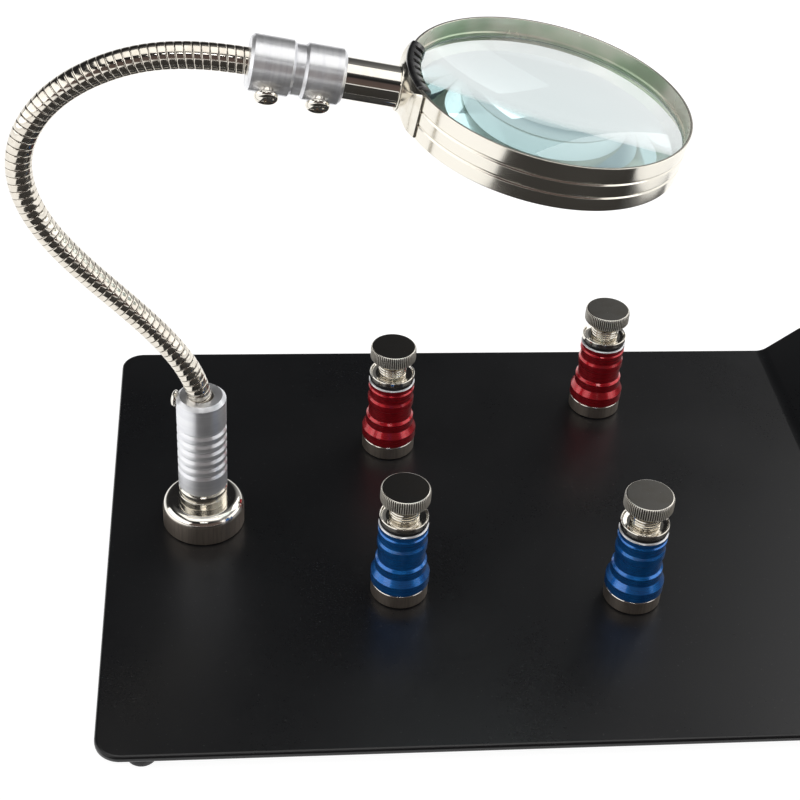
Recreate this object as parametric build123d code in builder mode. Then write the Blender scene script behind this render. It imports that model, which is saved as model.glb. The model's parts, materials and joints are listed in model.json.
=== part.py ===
"""Helping hands magnifier: a steel base plate, four magnetic board pillars and a magnifier on a gooseneck."""
from build123d import *
from math import cos, radians, sin, sqrt
import os

# Base plate, in millimetres
plate_length = 250.0
plate_depth = 150.0
plate_thickness = 2.0
plate_corner_radius = 6.0
plate_edge_radius = 0.7
shelf_bend_start = 190.0   # from the plate's left edge
shelf_bend_run = 11.0
shelf_rise = 9.0
shelf_bend_radius = 5.0

# Rubber feet
foot_height = 3.5
foot_radius = 3.6
foot_edge_radius = 1.2
foot_inset = 5.0
foot_columns = (10.4, 180.0)

# Frame: plan positions are measured from the plate's front left corner, heights from its top face
plan_centre_x = 116.16
deck_top = foot_height + plate_thickness

# Pot magnets
stand_magnet_radius = 10.3
stand_magnet_height = 8.0
stand_magnet_round = 2.5
pillar_magnet_radius = 7.0
pillar_magnet_height = 4.1
magnet_wall = 1.2
magnet_recess = 0.15
glue_gap = 0.05

# Magnifier stand
stand_x = 23.66
stand_y = 77.7
boss_radius = 6.05
boss_height = 4.4
boss_chamfer = 0.5
boss_seam = (2.1, 0.15)    # height and depth of the line turned round it
stud_radius = 2.45
stud_length = 8.0
column_radius = 6.1
column_height = 27.6
column_top_chamfer = 0.9
column_foot_bevel = (0.5, 0.5)
column_groove_count = 6
column_groove_pitch = 2.54
column_groove_first = 6.0   # above the column's foot
column_groove_width = 1.6
column_groove_depth = 0.45
column_screw_angle = 165.0
column_screw_drop = 2.2     # below the column's top

# Gooseneck: tilt of its line from vertical, towards -X, at its foot, at each joint and at its head
neck_tilts = (0, 26, 39, 44, 39, 26, -7, -42, -63, -82, -97, -100)
neck_pitch = 13.8           # from joint to joint
neck_radius = 2.95
neck_sunk_run = 1.0         # straight stretch left inside the column's mouth
neck_fit = 0.07
neck_socket_depth = 14.0
ball_radius = 2.2
ball_clearance = 0.1
ball_neck_radius = 0.95
ball_neck_length = 2.6
ball_cone_end = 4.0
cup_back = 2.6
cup_lip = 1.2

# Coupler and handle
coupler_radius = 6.05
coupler_length = 20.4
coupler_chamfer = 0.7
coupler_groove = (9.6, 11.6, 0.6)
coupler_neck_depth = 9.2
coupler_web_end = 10.9
coupler_screw_stations = (4.5, 15.5)
coupler_screw_turn = 55.0   # from straight down, towards -Y
coupler_screw_standoff = 1.2   # the heads stay clear, because the tips do the clamping
handle_radius = 4.5
handle_wall = 0.7
handle_fit = 0.07
tube_end_gap = 0.3          # left at the bottom of each of the coupler's sockets
handle_reach = 33.0         # from the coupler's neck end to the ring

# Magnifier head
lens_rim_centre = (100.44, 77.7, 122.49)
lens_pitch = 9.0
lens_roll = 2.3
ring_radius = 31.75
ring_height = 10.3
ring_wall = 0.6
ring_bead_drops = (3.8, 7.0)
ring_bead_depth = 0.6
ring_bead_half = 0.5
lens_radius = 30.9
lens_edge = 2.0
lens_thickness = 8.6
saddle_half_angle = 22.5
saddle_wall = 0.8
saddle_collar = 5.15
saddle_collar_start = 2.9   # before the ring's wall
saddle_flare = ((5.6, 2.3), (7.4, 1.15), (9.6, 0.1), (12.7, -1.5))   # radius, and distance before the ring's wall
insert_half_angle = 19.5
insert_centre_angle = 178.5
insert_depth = 3.1
insert_rise = 0.5
insert_rib_count = 6

# Pan head clamp screws
screw_shank_radius = 1.45
screw_hole_radius = 1.5
column_head_radius = 2.1
coupler_head_radius = 2.65
screw_head_share = 0.62     # of the head's radius, as its height
screw_head_edge = 0.35
recess_width = 0.6
recess_length = 2.4
recess_depth = 0.8
screw_tip_gap = 0.1

# Board pillars
pillars = {
    "rear_left": (73.4, 107.2),
    "rear_right": (133.7, 124.0),
    "front_left": (71.5, 50.4),
    "front_right": (129.1, 46.5),
}
pillar_stud_radius = 1.9
pillar_stud_length = 5.0
pillar_bore_radius = 2.0
pillar_outline = (          # radius and height above the pot magnet
    (6.95, 0), (7.2, 0.3), (7.2, 2.9), (6.3, 4.65), (6.3, 6.9), (5.75, 7.5), (5.75, 10.85),
    (6.1, 11.2), (6.1, 12.9), (5.8, 13.65), (5.8, 15.35), (6.05, 15.6), (6.05, 16.3), (5.75, 16.65),
    (5.75, 16.95), (6.05, 17.25), (6.05, 18.1), (5.75, 18.4),
)
pillar_top = pillar_magnet_height + pillar_outline[-1][1]
washer_radius = 5.75
washer_thickness = 0.95
dish_gap = 0.1
dish_radius = 6.05
dish_thickness = 0.6
dish_rise = 1.35
thumb_neck_height = 4.95
thumb_head_height = 3.75
thumb_head_radius = 6.0
thumb_rim_height = 0.35     # of the smooth bevel above the knurl
thumb_neck_base = pillar_top + washer_thickness + dish_gap + dish_thickness + 0.05
thumb_shank_radius = 1.92
thumb_shank_end = 12.0
knurl_count = 66
knurl_size = 0.36

small = 0.02


def plan(x, y, z=0.0):
    """A point given from the plate's front left corner and top face, in the part's own frame."""
    return Vector(x - plan_centre_x, y - plate_depth / 2, deck_top + z)


def finish(piece, name):
    """Labels a piece and writes it to its own file."""
    piece.part.label = name
    export_step(piece.part, f"parts/{name}.step")


def upright(x, y):
    """The XZ plane through a vertical axis, for profiles revolved about it."""
    return Plane(origin=plan(x, y), x_dir=(1, 0, 0), z_dir=(0, -1, 0))


def along(origin, tilt):
    """The plane whose Y axis leans by tilt from vertical towards -X."""
    lean = radians(tilt)
    return Plane(origin=origin, x_dir=(cos(lean), 0, sin(lean)), z_dir=(0, -1, 0))


def turned(name, plane, outline):
    """A piece revolved about the plane's Y axis from a closed outline of (radius, height) points."""
    with BuildPart() as piece:
        with BuildSketch(plane):
            with BuildLine():
                Polyline(*outline, close=True)
            make_face()
        revolve(axis=Axis(plane.origin, plane.y_dir))
    finish(piece, name)


# ---- base ----

def make_base_plate():
    left = -plan_centre_x
    right = plate_length - plan_centre_x
    bend_start = left + shelf_bend_start
    bend_end = bend_start + shelf_bend_run
    shelf_top = deck_top + shelf_rise
    plate_middle = Plane.XY.offset(deck_top).move(Location((left + plate_length / 2, 0, 0)))
    with BuildPart() as base_plate:
        with BuildSketch(Plane.XZ):
            with BuildLine():
                FilletPolyline(
                    (left, deck_top), (bend_start, deck_top), (bend_end, shelf_top), (right, shelf_top),
                    radius=shelf_bend_radius,
                )
                offset(amount=plate_thickness, side=Side.RIGHT)
            make_face()
        extrude(amount=plate_depth / 2, both=True)
        with BuildSketch(plate_middle):
            RectangleRounded(plate_length, plate_depth, plate_corner_radius)
        extrude(amount=plate_length, both=True, mode=Mode.INTERSECT)
        broad = base_plate.faces().sort_by(SortBy.AREA)[-2:]
        fillet(broad.edges().filter_by(lambda edge: edge_on_rim(edge, left, right)), plate_edge_radius)
    finish(base_plate, "base_plate")


def edge_on_rim(edge, left, right):
    """True for an edge that runs round the plate's outline."""
    middle = edge.center()
    beside = abs(abs(middle.Y) - plate_depth / 2) < plate_corner_radius
    ends = min(abs(middle.X - left), abs(middle.X - right)) < plate_corner_radius
    return beside or ends


def make_feet():
    for side, x in zip(("left", "right"), foot_columns):
        for row, y in (("front", foot_inset), ("rear", plate_depth - foot_inset)):
            name = f"foot_{row}_{side}"
            with BuildPart() as foot:
                with BuildSketch(Plane(plan(x, y, -plate_thickness - foot_height))):
                    Circle(foot_radius)
                extrude(amount=foot_height)
                fillet(foot.edges().sort_by(Axis.Z)[0], foot_edge_radius)
            finish(foot, name)


# ---- pot magnets ----

def make_magnet(prefix, x, y, radius, height, top_round, stud_hole):
    """A steel pot and the disc magnet glued into its open underside."""
    cavity_radius = radius - magnet_wall
    cavity_height = height - magnet_wall
    with BuildPart() as cup:
        with BuildSketch(Plane(plan(x, y))):
            Circle(radius)
        extrude(amount=height)
        fillet(cup.edges().sort_by(Axis.Z)[-1], top_round)
        with BuildSketch(Plane(plan(x, y))):
            Circle(cavity_radius)
        extrude(amount=cavity_height, mode=Mode.SUBTRACT)
        with BuildSketch(Plane(plan(x, y))):
            Circle(stud_hole)
        extrude(amount=height, mode=Mode.SUBTRACT)
    finish(cup, f"{prefix}_magnet_pot")
    with BuildPart() as magnet:
        with BuildSketch(Plane(plan(x, y, magnet_recess))):
            Circle(cavity_radius - glue_gap)
        extrude(amount=cavity_height - magnet_recess - glue_gap)
        chamfer(magnet.edges(), 0.3)
    finish(magnet, f"{prefix}_magnet")


# ---- magnifier stand ----

def make_stand_boss():
    foot = stand_magnet_height
    top = foot + boss_height
    spigot = foot - magnet_wall
    seam_height, seam_depth = boss_seam
    outline = [
        (0, spigot + small), (stud_radius, spigot + small), (stud_radius, foot), (boss_radius, foot),
        (boss_radius, foot + seam_height - seam_depth), (boss_radius - seam_depth, foot + seam_height),
        (boss_radius, foot + seam_height + seam_depth), (boss_radius, top - boss_chamfer),
        (boss_radius - boss_chamfer, top), (stud_radius, top), (stud_radius, top + stud_length - 0.5),
        (stud_radius - 0.5, top + stud_length), (0, top + stud_length),
    ]
    turned("stand_boss", upright(stand_x, stand_y), outline)


def column_groove(middle):
    """The V groove round the column at one height, as outline points going up."""
    half = column_groove_width / 2
    return [
        (column_radius, middle - half),
        (column_radius - column_groove_depth, middle),
        (column_radius, middle + half),
    ]


def clamp_screw_plane(middle, direction, surface):
    """The plane under a clamp screw's head, with its Z axis pointing out through the head."""
    way = Vector(*direction).normalized()
    return Plane(origin=middle + way * surface, z_dir=way)


def column_screw_plane():
    turn = radians(column_screw_angle)
    height = stand_magnet_height + boss_height + column_height - column_screw_drop
    return clamp_screw_plane(plan(stand_x, stand_y, height), (cos(turn), sin(turn), 0), column_radius)


def make_stand_column():
    foot = stand_magnet_height + boss_height
    top = foot + column_height
    bevel_in, bevel_up = column_foot_bevel
    outline = [(0, foot), (column_radius - bevel_in, foot), (column_radius, foot + bevel_up)]
    for number in range(column_groove_count):
        outline += column_groove(foot + column_groove_first + number * column_groove_pitch)
    outline += [(column_radius, top - column_top_chamfer), (column_radius - column_top_chamfer, top), (0, top)]
    plane = upright(stand_x, stand_y)
    with BuildPart() as stand_column:
        with BuildSketch(plane):
            with BuildLine():
                Polyline(*outline, close=True)
            make_face()
        revolve(axis=Axis(plane.origin, plane.y_dir))
        with BuildSketch(Plane(plan(stand_x, stand_y, foot))):
            Circle(stud_radius + small)
        extrude(amount=stud_length + 1, mode=Mode.SUBTRACT)
        with BuildSketch(Plane(plan(stand_x, stand_y, top))):
            Circle(neck_radius + neck_fit)
        extrude(amount=-(neck_socket_depth + 1), mode=Mode.SUBTRACT)
        with BuildSketch(column_screw_plane()):
            Circle(screw_hole_radius)
        extrude(amount=-column_radius, mode=Mode.SUBTRACT)
    finish(stand_column, "stand_column")


# ---- pan head screws ----

def make_pan_screw(name, seat, head_radius, shank):
    """A cross recess screw whose head starts at the seat plane and whose shank runs back from it."""
    head_height = head_radius * screw_head_share
    dome = head_radius * 0.62
    side = Plane(origin=seat.origin, x_dir=seat.x_dir, z_dir=-seat.y_dir)
    with BuildPart() as screw:
        with BuildSketch(side):
            with BuildLine():
                Polyline((0, small), (0, head_height))
                Spline(
                    (0, head_height), (dome, head_height * 0.86), (head_radius, screw_head_edge),
                    tangents=((1, 0), (0.1, -1)),
                )
                Polyline((head_radius, screw_head_edge), (head_radius - 0.15, small), (0, small))
            make_face()
        revolve(axis=Axis(seat.origin, seat.z_dir))
        with BuildSketch(seat.offset(small)):
            Circle(screw_shank_radius)
        extrude(amount=-shank)
        with BuildSketch(seat.offset(head_height)):
            Rectangle(recess_length, recess_width)
            Rectangle(recess_width, recess_length)
        extrude(amount=-recess_depth, taper=12, mode=Mode.SUBTRACT)
    finish(screw, name)


# ---- gooseneck ----

def neck_runs():
    """For each link, its straight ball end, its bent middle and its straight socket end, as lengths."""
    last = len(neck_tilts) - 2
    runs = [(ball_cone_end, neck_pitch - ball_cone_end - cup_back, cup_back)] * (last + 1)
    runs[0] = (0.0, neck_pitch / 2 + neck_sunk_run - cup_back, cup_back)
    runs[last] = (ball_cone_end, neck_pitch / 2 - ball_cone_end, 0.0)
    return runs


def neck_stations():
    """Each joint's point and tilt along the gooseneck, with its foot first and its head last."""
    foot = stand_magnet_height + boss_height + column_height - neck_sunk_run
    stations = [(plan(stand_x, stand_y, foot), neck_tilts[0])]
    for number, (lead, bend, tail) in enumerate(neck_runs()):
        start, end = neck_tilts[number], neck_tilts[number + 1]
        here = stations[-1][0]
        here = here + along(here, start).y_dir * lead
        here = here + bend_chord(start, end, bend)
        here = here + along(here, end).y_dir * tail
        stations.append((here, end))
    return stations


def bend_chord(start, end, length):
    """The step across an arc of the given length that turns from one tilt to the other."""
    turn = radians(end - start)
    middle = radians((start + end) / 2)
    chord = length * sin(turn / 2) / (turn / 2)
    return Vector(-sin(middle) * chord, 0, cos(middle) * chord)


def add_ball(station):
    """The ball, stem and shoulder at a link's lower end."""
    point, tilt = station
    plane = along(point, tilt)
    stem_start = sqrt(ball_radius ** 2 - ball_neck_radius ** 2)
    with BuildSketch(plane) as profile:
        with BuildLine():
            Line((0, -ball_radius), (0, ball_cone_end))
            Polyline(
                (0, ball_cone_end), (neck_radius, ball_cone_end), (ball_neck_radius, ball_neck_length),
                (ball_neck_radius, stem_start),
            )
            ThreePointArc((ball_neck_radius, stem_start), (ball_radius, 0), (0, -ball_radius))
        make_face()
    revolve(profile.sketch, axis=Axis(plane.origin, plane.y_dir))


def add_cup(station):
    """The socket at a link's upper end, which holds the next link's ball."""
    point, tilt = station
    plane = along(point, tilt)
    hollow = ball_radius + ball_clearance
    mouth = sqrt(hollow ** 2 - cup_lip ** 2)
    with BuildSketch(plane) as profile:
        with BuildLine():
            Polyline(
                (0, -hollow), (0, -cup_back), (neck_radius, -cup_back), (neck_radius, cup_lip / 2),
                (mouth + 0.3, cup_lip), (mouth, cup_lip),
            )
            ThreePointArc((mouth, cup_lip), (hollow, 0), (0, -hollow))
        make_face()
    revolve(profile.sketch, axis=Axis(plane.origin, plane.y_dir))


def add_bend(origin, start, end, length):
    """The curved tube between a link's two ends."""
    turn = end - start
    radius = length / radians(abs(turn))
    section = along(origin, start)
    inward = section.x_dir * (-1 if turn > 0 else 1)
    centre = origin + inward * radius
    with BuildSketch(Plane(origin=origin, x_dir=section.x_dir, z_dir=section.y_dir)) as profile:
        Circle(neck_radius)
    revolve(profile.sketch, axis=Axis(centre, (0, -1 if turn > 0 else 1, 0)), revolution_arc=abs(turn))


def make_neck():
    stations = neck_stations()
    for number, (lead, bend, tail) in enumerate(neck_runs()):
        start, end = stations[number], stations[number + 1]
        bend_start = start[0] + along(start[0], start[1]).y_dir * lead
        with BuildPart() as link:
            add_bend(bend_start, start[1], end[1], bend)
            if number == 0:
                with BuildSketch(Plane(start[0])):
                    Circle(neck_radius)
                extrude(amount=-(neck_socket_depth - neck_sunk_run))
            else:
                add_ball(start)
            if number == len(stations) - 2:
                tail_plane = along(end[0], end[1])
                with BuildSketch(Plane(origin=end[0], x_dir=tail_plane.x_dir, z_dir=tail_plane.y_dir)):
                    Circle(neck_radius)
                extrude(amount=coupler_neck_depth - tube_end_gap)
            else:
                add_cup(end)
        finish(link, f"gooseneck_link_{number + 1:02d}")


# ---- coupler and handle ----

def head_plane():
    """The plane at the coupler's neck end, with its Y axis along the handle."""
    point, tilt = neck_stations()[-1]
    return along(point, tilt)


def coupler_screw_plane(station):
    plane = head_plane()
    turn = radians(coupler_screw_turn)
    # the plane's X axis points down once the handle leans past level
    way = plane.x_dir * (cos(turn) * (1 if plane.x_dir.Z < 0 else -1)) + Vector(0, -sin(turn), 0)
    reach = coupler_radius + coupler_screw_standoff
    return clamp_screw_plane(plane.origin + plane.y_dir * station, tuple(way), reach)


def make_coupler():
    groove_start, groove_end, groove_depth = coupler_groove
    outline = [
        (0, 0), (coupler_radius - coupler_chamfer, 0), (coupler_radius, coupler_chamfer),
        (coupler_radius, groove_start - groove_depth), (coupler_radius - groove_depth, groove_start),
        (coupler_radius - groove_depth, groove_end), (coupler_radius, groove_end + groove_depth),
        (coupler_radius, coupler_length - coupler_chamfer),
        (coupler_radius - coupler_chamfer, coupler_length), (0, coupler_length),
    ]
    plane = head_plane()
    with BuildPart() as coupler:
        with BuildSketch(plane):
            with BuildLine():
                Polyline(*outline, close=True)
            make_face()
        revolve(axis=Axis(plane.origin, plane.y_dir))
        with BuildSketch(Plane(origin=plane.origin, z_dir=plane.y_dir)):
            Circle(neck_radius + small)
        extrude(amount=coupler_neck_depth, mode=Mode.SUBTRACT)
        with BuildSketch(Plane(origin=plane.origin + plane.y_dir * coupler_web_end, z_dir=plane.y_dir)):
            Circle(handle_radius + handle_fit)
        extrude(amount=coupler_length, mode=Mode.SUBTRACT)
        for station in coupler_screw_stations:
            with BuildSketch(coupler_screw_plane(station)):
                Circle(screw_hole_radius)
            extrude(amount=-(coupler_screw_standoff + coupler_radius * 0.9), mode=Mode.SUBTRACT)
    finish(coupler, "coupler")


def make_handle_tube():
    plane = head_plane()
    start = coupler_web_end + tube_end_gap
    outline = [
        (handle_radius - handle_wall, start), (handle_radius, start),
        (handle_radius, handle_reach), (handle_radius - handle_wall, handle_reach),
    ]
    turned("handle_tube", plane, outline)


# ---- magnifier head ----

def lens_plane(drop=0.0):
    """The plane of the ring's top rim, lowered by drop, with its X axis away from the handle."""
    pitch = radians(lens_pitch)
    roll = radians(lens_roll)
    x_dir = Vector(cos(pitch), 0, -sin(pitch))
    z_dir = Vector(sin(pitch) * cos(roll), -sin(roll), cos(pitch) * cos(roll))
    return Plane(origin=plan(*lens_rim_centre) - z_dir * drop, x_dir=x_dir, z_dir=z_dir)


def ring_side():
    """The plane through the ring's axis in which its section is drawn."""
    rim = lens_plane()
    return Plane(origin=rim.origin, x_dir=rim.x_dir, z_dir=-rim.y_dir)


def make_lens_ring():
    outer = ring_radius
    inner = ring_radius - ring_wall
    outline = [(outer, 0)]
    back = [(inner, 0)]
    for drop in ring_bead_drops:
        for radius, points in ((outer, outline), (inner, back)):
            points += [
                (radius, -drop + ring_bead_half), (radius - ring_bead_depth, -drop),
                (radius, -drop - ring_bead_half),
            ]
    outline.append((outer, -ring_height))
    back.append((inner, -ring_height))
    turned("lens_ring", ring_side(), outline + back[::-1])


def make_lens():
    middle = (ring_bead_drops[0] + ring_bead_drops[1]) / 2
    sag = (lens_thickness - lens_edge) / 2
    curve_radius = (lens_radius ** 2 + sag ** 2) / (2 * sag)
    half_sag = sqrt(curve_radius ** 2 - (lens_radius / 2) ** 2) - curve_radius + sag
    plane = ring_side()
    top = -middle + lens_edge / 2
    foot = -middle - lens_edge / 2
    with BuildPart() as lens:
        with BuildSketch(plane):
            with BuildLine():
                Line((0, foot - sag), (0, top + sag))
                ThreePointArc((0, top + sag), (lens_radius / 2, top + half_sag), (lens_radius, top))
                Line((lens_radius, top), (lens_radius, foot))
                ThreePointArc((lens_radius, foot), (lens_radius / 2, foot - half_sag), (0, foot - sag))
            make_face()
        revolve(axis=Axis(plane.origin, plane.y_dir))
    finish(lens, "lens")


def sector(centre_angle, half_angle, inner, outer):
    """A curved band in the rim's plane, between two radii and two angles."""
    with BuildLine() as outline:
        CenterArc((0, 0), outer, centre_angle - half_angle, 2 * half_angle)
        CenterArc((0, 0), inner, centre_angle - half_angle, 2 * half_angle)
        for angle in (centre_angle - half_angle, centre_angle + half_angle):
            turn = radians(angle)
            Line((inner * cos(turn), inner * sin(turn)), (outer * cos(turn), outer * sin(turn)))
    make_face(outline.edges())


def make_ring_saddle():
    """The plate that hugs the ring, with a flare down to the collar round the handle."""
    plane = head_plane()
    wall = ring_radius + small
    outline = [(0, handle_reach - saddle_collar_start), (saddle_collar, handle_reach - saddle_collar_start)]
    outline += [(radius, handle_reach - before) for radius, before in saddle_flare]
    rim_radius = saddle_flare[-1][0]
    behind = handle_reach + ring_wall * 5
    with BuildPart() as ring_saddle:
        with BuildSketch(plane):
            with BuildLine():
                Polyline(*outline, (rim_radius, behind), (0, behind), close=True)
            make_face()
        revolve(axis=Axis(plane.origin, plane.y_dir))
        with BuildSketch(lens_plane(ring_height)):
            sector(180, saddle_half_angle, wall, wall + ring_height)
        extrude(amount=ring_height, mode=Mode.INTERSECT)
        with BuildSketch(lens_plane(ring_height)):
            sector(180, saddle_half_angle, wall, wall + saddle_wall)
        extrude(amount=ring_height)
        with BuildSketch(Plane(origin=plane.origin, z_dir=plane.y_dir)):
            Circle(handle_radius + small)
        extrude(amount=handle_reach + small, mode=Mode.SUBTRACT)
    finish(ring_saddle, "ring_saddle")


def make_ring_insert():
    inner_wall = ring_radius - ring_wall
    floor = ring_bead_drops[0] - ring_bead_half - 0.1
    inner = ring_radius - insert_depth
    with BuildPart() as ring_insert:
        with BuildSketch(lens_plane(floor)):
            sector(insert_centre_angle, insert_half_angle, inner, inner_wall - small)
        extrude(amount=floor + small)
        with BuildSketch(lens_plane(-small)):
            sector(insert_centre_angle, insert_half_angle, inner, ring_radius + 0.25)
        extrude(amount=insert_rise)
        for number in range(insert_rib_count):
            step = 2 * insert_half_angle / (insert_rib_count + 1)
            angle = insert_centre_angle - insert_half_angle + step * (number + 1)
            rim = lens_plane(-insert_rise - small)
            spot = rim.rotated((0, 0, angle))
            with BuildSketch(spot):
                with Locations((inner, 0)):
                    Rectangle(3.0, 0.8)
            extrude(amount=-(floor + insert_rise) * 0.6, mode=Mode.SUBTRACT)
    finish(ring_insert, "ring_insert")


# ---- board pillars ----

def make_pillar_column(name, x, y):
    foot = pillar_magnet_height
    outline = [(0, foot)] + [(radius, foot + height) for radius, height in pillar_outline] + [(0, pillar_top)]
    plane = upright(x, y)
    with BuildPart() as column:
        with BuildSketch(plane):
            with BuildLine():
                Polyline(*outline, close=True)
            make_face()
        revolve(axis=Axis(plane.origin, plane.y_dir))
        with BuildSketch(Plane(plan(x, y))):
            Circle(pillar_bore_radius)
        extrude(amount=pillar_top + 1, mode=Mode.SUBTRACT)
    finish(column, f"{name}_pillar")


def make_pillar_stud(name, x, y):
    """The threaded stud that joins the pot magnet to the pillar."""
    with BuildPart() as stud:
        with BuildSketch(Plane(plan(x, y, pillar_magnet_height - magnet_wall + small))):
            Circle(pillar_stud_radius)
        extrude(amount=magnet_wall + pillar_stud_length)
        chamfer(stud.edges().sort_by(Axis.Z)[-1], 0.4)
    finish(stud, f"{name}_magnet_stud")


def make_rubber_washer(name, x, y):
    with BuildPart() as washer:
        with BuildSketch(Plane(plan(x, y, pillar_top))):
            Circle(washer_radius)
            Circle(thumb_shank_radius + 0.4, mode=Mode.SUBTRACT)
        extrude(amount=washer_thickness)
        rims = washer.edges().filter_by(GeomType.CIRCLE).sort_by(SortBy.RADIUS)[-2:]
        fillet(rims, 0.25)
    finish(washer, f"{name}_rubber_washer")


def make_clamp_dish(name, x, y):
    """A cup washer that flares up to its rim."""
    foot = pillar_top + washer_thickness + dish_gap
    hole = thumb_shank_radius + 0.08
    outline = [
        (hole, foot), (4.4, foot), (dish_radius, foot + dish_rise - 0.35), (dish_radius, foot + dish_rise),
        (dish_radius - 0.35, foot + dish_rise), (4.2, foot + dish_thickness), (hole, foot + dish_thickness),
    ]
    turned(f"{name}_clamp_dish", upright(x, y), outline)


def make_thumb_screw(name, x, y):
    """A knurled head on a waisted, grooved neck, with a plain shank for the thread."""
    base = thumb_neck_base
    head = thumb_neck_base + thumb_neck_height
    top = head + thumb_head_height
    outline = [
        (0, thumb_shank_end), (thumb_shank_radius - 0.4, thumb_shank_end),
        (thumb_shank_radius, thumb_shank_end + 0.4), (thumb_shank_radius, base), (3.7, base),
        (3.8, base + 0.7), (3.55, base + 1.0), (3.65, base + 1.7), (3.4, base + 2.0), (3.5, base + 2.7),
        (3.35, base + 3.0), (3.6, base + 4.0), (4.1, head), (4.1, head + 0.5), (0, head + 0.5),
    ]
    plane = upright(x, y)
    with BuildPart() as screw:
        with BuildSketch(plane):
            with BuildLine():
                Polyline(*outline, close=True)
            make_face()
        revolve(axis=Axis(plane.origin, plane.y_dir))
        with BuildSketch(Plane(plan(x, y, head))):
            Circle(thumb_head_radius)
            with PolarLocations(thumb_head_radius, knurl_count):
                Rectangle(knurl_size, knurl_size, rotation=45, mode=Mode.SUBTRACT)
        extrude(amount=thumb_head_height - thumb_rim_height)
        with BuildSketch(Plane(plan(x, y, top - thumb_rim_height))):
            Circle(thumb_head_radius - 0.22)
        extrude(amount=thumb_rim_height, taper=35)
    finish(screw, f"{name}_thumb_screw")


def make_pillar(name, x, y):
    make_magnet(name, x, y, pillar_magnet_radius, pillar_magnet_height, 0.35, pillar_stud_radius + small)
    make_pillar_stud(name, x, y)
    make_pillar_column(name, x, y)
    make_rubber_washer(name, x, y)
    make_clamp_dish(name, x, y)
    make_thumb_screw(name, x, y)


# ---- assembly ----

os.makedirs("parts", exist_ok=True)
make_base_plate()
make_feet()
make_magnet(
    "stand", stand_x, stand_y, stand_magnet_radius, stand_magnet_height, stand_magnet_round,
    stud_radius + small,
)
make_stand_boss()
make_stand_column()
column_shank = column_radius - neck_radius - neck_fit - screw_tip_gap
make_pan_screw("column_clamp_screw", column_screw_plane(), column_head_radius, column_shank)
make_neck()
make_coupler()
screw_reaches = (neck_radius, handle_radius + handle_fit)
for screw_name, station, reach in zip(("neck", "handle"), coupler_screw_stations, screw_reaches):
    shank = coupler_radius + coupler_screw_standoff - reach - screw_tip_gap
    make_pan_screw(f"coupler_{screw_name}_screw", coupler_screw_plane(station), coupler_head_radius, shank)
make_handle_tube()
make_ring_saddle()
make_lens_ring()
make_lens()
make_ring_insert()
for pillar_name, (pillar_x, pillar_y) in pillars.items():
    make_pillar(pillar_name, pillar_x, pillar_y)
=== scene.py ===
"""Looks for the helping hands magnifier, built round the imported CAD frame.

Places are in metres, and the dimensions named below are in millimetres.
"""

import json
from math import cos, pi, radians, sin, sqrt, tan, tau

import bpy
import numpy as np
from mathutils import Matrix, Vector


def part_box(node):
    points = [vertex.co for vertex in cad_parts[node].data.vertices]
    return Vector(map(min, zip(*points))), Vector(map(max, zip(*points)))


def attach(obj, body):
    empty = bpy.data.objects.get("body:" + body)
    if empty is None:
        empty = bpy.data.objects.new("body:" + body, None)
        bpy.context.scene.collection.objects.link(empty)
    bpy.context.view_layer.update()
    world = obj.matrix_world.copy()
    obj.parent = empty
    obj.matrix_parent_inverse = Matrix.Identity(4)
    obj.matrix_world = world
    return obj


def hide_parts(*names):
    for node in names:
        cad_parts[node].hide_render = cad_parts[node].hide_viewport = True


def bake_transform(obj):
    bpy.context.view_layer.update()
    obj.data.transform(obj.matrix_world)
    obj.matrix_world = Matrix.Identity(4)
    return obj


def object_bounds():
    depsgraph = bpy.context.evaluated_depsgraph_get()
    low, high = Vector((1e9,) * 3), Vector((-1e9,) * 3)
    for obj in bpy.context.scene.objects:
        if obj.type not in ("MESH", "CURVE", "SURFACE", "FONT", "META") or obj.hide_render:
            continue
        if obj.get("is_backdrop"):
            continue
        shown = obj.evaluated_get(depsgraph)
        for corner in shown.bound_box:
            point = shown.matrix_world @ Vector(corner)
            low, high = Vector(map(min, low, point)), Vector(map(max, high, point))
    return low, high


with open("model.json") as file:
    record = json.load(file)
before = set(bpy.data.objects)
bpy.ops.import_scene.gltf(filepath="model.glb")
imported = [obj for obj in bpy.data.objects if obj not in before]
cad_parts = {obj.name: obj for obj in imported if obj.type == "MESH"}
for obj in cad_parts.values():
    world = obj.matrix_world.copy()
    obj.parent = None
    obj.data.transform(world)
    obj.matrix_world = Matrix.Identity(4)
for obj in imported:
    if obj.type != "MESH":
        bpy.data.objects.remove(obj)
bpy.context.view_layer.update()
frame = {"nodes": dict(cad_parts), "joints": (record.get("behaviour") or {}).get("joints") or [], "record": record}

MM = 0.001

# Camera, from a fit of the plate's edges and the round parts
LENS_MM = 73.94
CAMERA_PLACE = (-0.08533, -0.31527, 0.28829)
CAMERA_AZIMUTH = radians(7.402)
CAMERA_DOWN = radians(37.375)
CAMERA_ROLL = radians(3.948)

ROUND = 0.14                      # usual edge radius
BORE_RADIUS = 2.0                 # of the narrow hole through a turned piece
FOOT_RADIUS = 3.6
FOOT_ROUND = 1.1
POT_WALL = 1.2
STAND_RADIUS = 10.3
STAND_HEIGHT = 8.0
STAND_ROUND = 2.5
COLLAR_OUTLINE = (                # radius and height above the stand's pot
    (0, 0), (6.0, 0), (6.05, 1.95), (5.85, 2.1), (6.05, 2.25), (6.05, 3.9), (5.55, 4.4), (0, 4.4),
)
COLUMN_RADIUS = 6.1
COLUMN_SOCKET = 14.0              # depth of the hole for the gooseneck
COLUMN_GROOVES = (6, 6.0, 2.54, 1.6, 0.45)   # count, first above the foot, pitch, width, depth
COLUMN_BEVEL = (0.5, 0.5)
COLUMN_CHAMFER = 0.9
NECK_RADIUS = 2.95
NECK_PITCH = 1.75                 # from one turn to the next
NECK_GAP = 0.20                   # depth between two turns
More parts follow.
